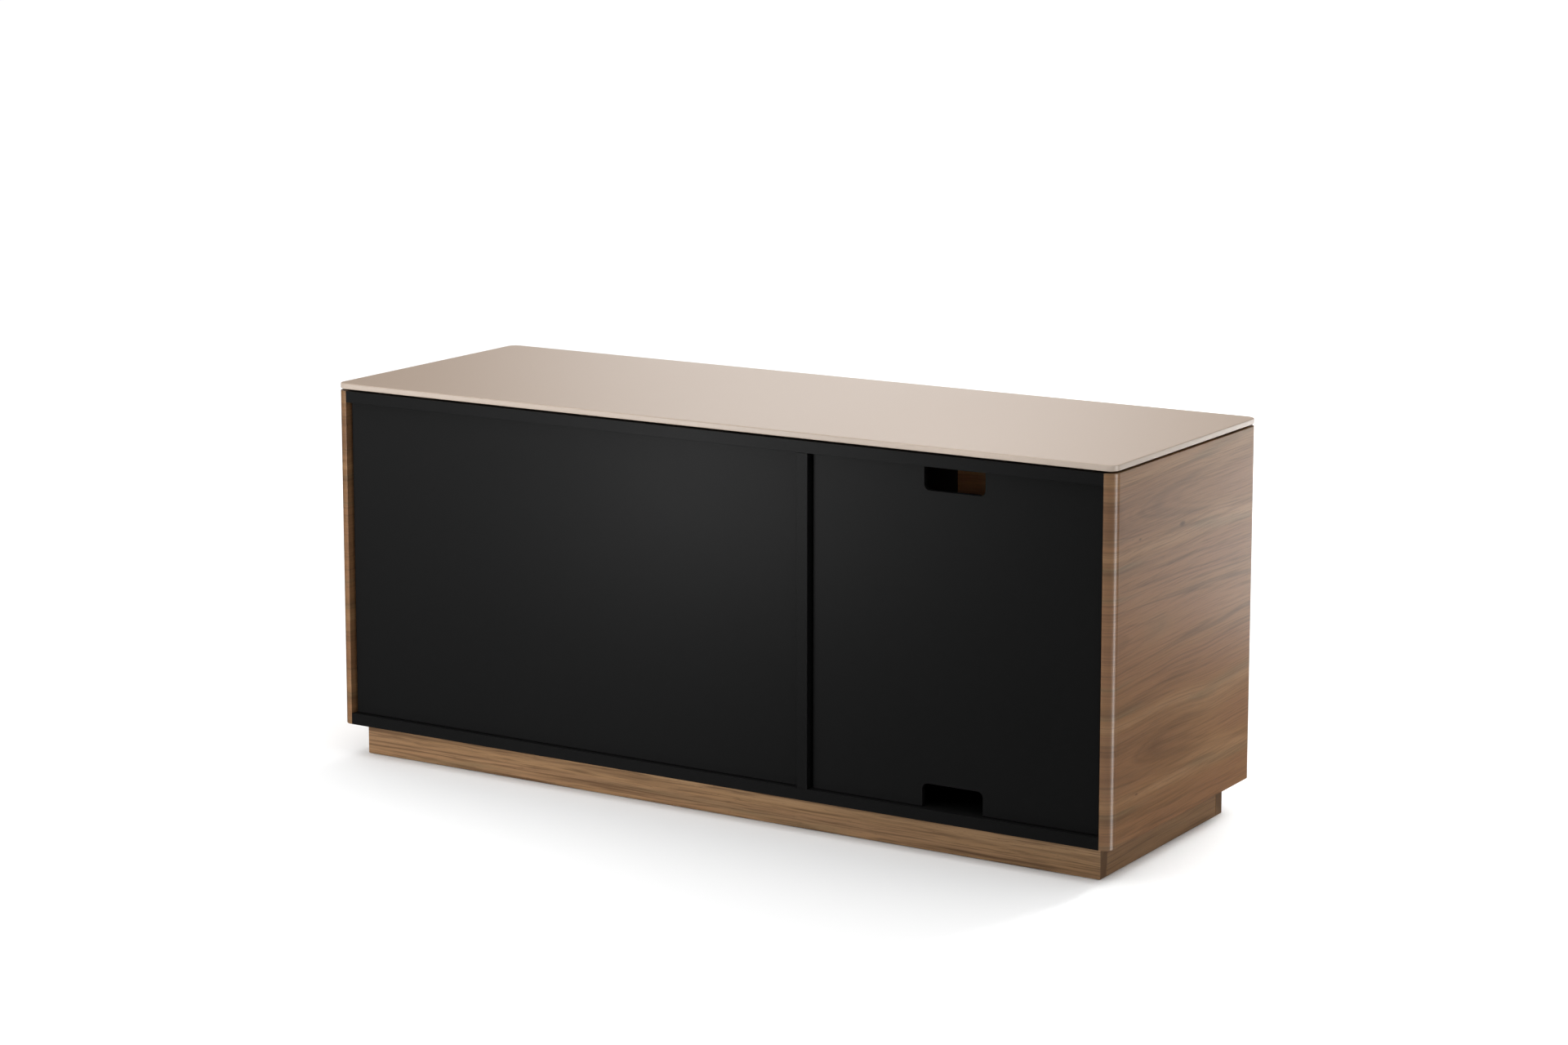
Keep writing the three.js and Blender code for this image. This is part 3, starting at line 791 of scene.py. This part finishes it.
def makePlinth(materials, look):
    edge = look["edge"]
    corner = edge * look["corner"]
    for node in ("plinth_front", "plinth_back"):
        piece = boardFromNode("walnut_" + node, node, "y", corner, edge)
        dress(piece, materials["walnutPlinth"], "walnut", bodyOf[node], node)
        piece.data.materials.append(materials["walnutEnd"])
        # the two ends carry upright edge banding
        normals = np.empty(len(piece.data.polygons) * 3)
        piece.data.polygons.foreach_get("normal", normals)
        atEnd = np.abs(normals[0::3]) > look["endFaces"]
        piece.data.polygons.foreach_set("material_index", atEnd.astype(np.int32))
    for node in ("plinth_left", "plinth_right"):
        piece = boardFromNode("walnut_" + node, node, "x", corner, edge)
        dress(piece, materials["walnutPlinthSideLightened"], "walnut", bodyOf[node], node)
    node = "plinth_brace"
    piece = boardFromNode("black_" + node, node, "x", corner, edge)
    dress(piece, materials["blackLacquer"], "black_board", bodyOf[node], node)


footLook = {
    "baseHeight": 0.008,
    "chamfer": 0.0015,
    "edge": 0.0006,
    "studRadius": 0.004,
    "shoulder": 1.7,      # shares of the stud's radius, where it stands on the base and at its tip
    "tip": 0.75,
    "pitch": 0.00125,     # from one turn of its thread to the next
    "threadDepth": 0.0006,
}


def makeFeet(materials, look):
    for node in [n for n in bodyOf if n.startswith("foot_")]:
        low, high = spans(node)
        centre = np.array([(low[0] + high[0]) / 2, (low[1] + high[1]) / 2, 0.0])
        wide = (high[0] - low[0]) / 2
        lip, base, radius = look["chamfer"], look["baseHeight"], look["studRadius"]
        profile = roundedProfile([
            (wide * 0.2, 0), (wide - lip, 0), (wide, lip), (wide, base - lip), (wide - lip, base),
            (radius * look["shoulder"], base),
        ], look["edge"])
        # the stud's thread: its radius falls and rises once in each pitch
        heights = np.arange(base, high[2] - look["pitch"], look["pitch"] / 4)
        wave = np.abs(((heights - base) / look["pitch"]) % 1 - 0.5) * 2
        stud = np.stack([radius - look["threadDepth"] * wave, heights], 1)
        tip = np.array([[radius * look["tip"], high[2]]])
        profile = np.concatenate([profile, stud, tip])
        piece = turned("steel_" + node, profile, centre, "z", around=40)
        dress(piece, materials["blackSteel"], "black_steel", bodyOf[node], node)


# doors, pivots and latches

doorLook = {
    "edge": 0.0009,
    # the clear dots: inset from the door's free edge, drop from its top and bottom
    "dotRadius": 0.004, "dotThick": 0.0020, "dotInset": 0.016, "dotDrop": 0.010,
    "dotBuried": 0.0001, "dotTaper": 0.86, "dotHole": 0.15, "dotRound": 0.0012,
}


def makeDoors(materials, look):
    for side in ("left", "middle", "right"):
        node = "door_" + side
        piece = bevelledCopy("walnut_" + node, node, look["edge"], 3)
        dress(piece, materials["walnutFront"], "walnut", bodyOf[node], node)

        # clear dots on the back of the door keep it off the boards' front edges
        low, high = spans(node)
        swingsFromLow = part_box(f"bush_{side}_top")[0][0] < (low[0] + high[0]) / 2
        free = high[0] - look["dotInset"] if swingsFromLow else low[0] + look["dotInset"]
        corners = plugProfile(look["dotRadius"], -look["dotBuried"], look["dotThick"],
                              look["dotTaper"], look["dotHole"])
        profile = roundedProfile(corners, look["dotRound"], steps=5)
        drop = look["dotDrop"]
        for end, height in (("top", high[2] - drop), ("bottom", low[2] + drop)):
            place = (free, high[1], height)
            dot = turned(f"silicone_dot_{side}_{end}", profile, place, "y", around=32)
            dress(dot, materials["silicone"], "bumper", bodyOf[node])


pivotLook = {"plateEdge": 0.0003, "bushEdge": 0.00012}


def makePivots(materials, look):
    for side in ("left", "middle", "right"):
        for end in ("top", "bottom"):
            node = f"pivot_plate_{side}_{end}"
            piece = bevelledCopy("steel_" + node, node, look["plateEdge"])
            dress(piece, materials["blackSteel"], "black_steel", bodyOf[node], node)
            node = f"bush_{side}_{end}"
            piece = bevelledCopy("nylon_" + node, node, look["bushEdge"])
            dress(piece, materials["nylon"], "nylon", bodyOf[node], node)


latchLook = {
    "housingEdge": 0.0012,
    # the round parts: rounding, points in it, points around
    "plunger": (0.0012, 6, 40),
    "strike": (0.0004, 5, 48),
}


def makeLatches(materials, look):
    for side in ("left", "middle", "right"):
        node = "latch_housing_" + side
        piece = bevelledCopy("plastic_" + node, node, look["housingEdge"], 3)
        dress(piece, materials["mouldedPlastic"], "latch_plastic", bodyOf[node], node)
        for part in ("plunger", "strike"):
            node = f"{part}_{side}"
            rounding, steps, around = look[part]
            low, high = spans(node)
            radius, half = (high[0] - low[0]) / 2, (high[1] - low[1]) / 2
            profile = roundedProfile(plugProfile(radius, -half, half), rounding, steps)
            piece = turned("steel_" + node, profile, (low + high) / 2, "y", around)
            dress(piece, materials["nickel"], "bright_steel", bodyOf[node], node)


# shelf pins and bumpers

pinLook = {
    "gripRadius": 0.00245, "headRadius": 0.0035, "collarRadius": 0.005, "hole": 0.4,
    "grip": 0.008, "gap": 0.0002, "collar": 0.0008, "reach": 0.009,
    "edge": 0.0004,
}


def makeShelfPins(materials, look):
    # heights along the pin: its buried end, the wall, the collar's face and its free end
    grip, head, collar = look["gripRadius"], look["headRadius"], look["collarRadius"]
    hole = look["hole"]
    start, wall = -look["grip"], look["gap"]
    face, end = wall + look["collar"], wall + look["reach"]
    corners = np.array([
        (grip * hole, start), (grip, start), (grip, wall), (collar, wall),
        (collar, face), (head, face), (head, end), (head * hole, end),
    ])
    corners[:, 1] -= (end - look["grip"]) / 2
    for node in [n for n in bodyOf if n.startswith("shelf_pin_")]:
        low, high = spans(node)
        toRight = node.endswith("_left")          # a pin in a left face points towards +X
        profile = roundedProfile(corners if toRight else flipped(corners), look["edge"])
        piece = turned("nickel_" + node, profile, (low + high) / 2, "x", around=32)
        dress(piece, materials["nickel"], "bright_steel", bodyOf[node], node)


bumperLook = {"taper": 0.9, "edge": 0.0008}


def makeBumpers(materials, look):
    for node in [n for n in bodyOf if n.startswith("glass_bumper_")]:
        low, high = spans(node)
        radius, half = (high[0] - low[0]) / 2, (high[2] - low[2]) / 2
        profile = roundedProfile(plugProfile(radius, -half, half, look["taper"]), look["edge"])
        piece = turned("silicone_" + node, profile, (low + high) / 2, "z", around=40)
        dress(piece, materials["silicone"], "bumper", bodyOf[node], node)


# stage

def makeStage(spec):
    bpy.ops.mesh.primitive_plane_add(size=spec["floorSize"], location=(0, 0, 0))
    floor = bpy.context.object
    floor.name = "studio_floor"
    shader = Shader("studioFloor")
    fineness, share = spec["floorGrain"]
    grain = shader.add("ShaderNodeTexNoise", {}, {"Scale": fineness, "Detail": 2.0}, "Fac")
    darker = tuple(c * 0.98 for c in spec["floorColour"])
    shade = shader.mix(grain * share, spec["floorColour"], darker)
    floor.data.materials.append(shader.finish(shade, spec["floorRoughness"], specular=0.0))
    floor.visible_glossy = False

    # the sky: its strength grows with height and a little to one side; gloss sees the glows instead
    world = bpy.data.worlds.new("studioSky")
    world.use_nodes = True
    bpy.context.scene.world = world
    sky = Shader("studioSky", world.node_tree)
    x, y, z = sky.axes("Generated")
    start, end = spec["skyClimb"]
    height = sky.add("ShaderNodeMapRange", {}, {
        "Value": z, "From Min": start, "From Max": end,
        "To Min": spec["skyLow"], "To Max": spec["skyHigh"],
    }, "Result")
    toX, toY = spec["skySide"]
    level = height * (1.0 + x * toX + y * toY)
    gloss = spec["skyGloss"]
    for towards, spread, strength in spec["glows"]:
        nearness = x * towards[0] + y * towards[1] + z * towards[2]
        gloss = gloss + sky.smooth(nearness, math.cos(math.radians(spread)), 1.0) * strength
    rays = sky.add("ShaderNodeLightPath", {}, {})
    names = ("Is Glossy Ray", "Is Camera Ray")
    inGloss, inCamera = [Wire(sky, rays.outputs[name]) for name in names]
    level = level + inGloss * (gloss - level)
    level = level + inCamera * (spec["backdrop"] - level)
    light = sky.add("ShaderNodeBackground", {}, {"Strength": level}, "Background")
    sky.add("ShaderNodeOutputWorld", {}, {"Surface": light})
    bpy.context.scene.view_settings.view_transform = "Standard"


makeCamera(view)
makeLights(studio)
makeStage(studio)
print("studio made")

materials = makeMaterials()
print("materials made")

makeSidePanels(materials, carcassLook)
makeGlass(materials, carcassLook)
makeBoards(materials, carcassLook)
makeBackPanels(materials, panelLook)
makeFixings(materials, fixingLook)
print("carcass made")

makePlinth(materials, plinthLook)
makeFeet(materials, footLook)
print("plinth and feet made")

makeDoors(materials, doorLook)
makePivots(materials, pivotLook)
makeLatches(materials, latchLook)
makeShelfPins(materials, pinLook)
makeBumpers(materials, bumperLook)
print("doors, latches and small parts made")
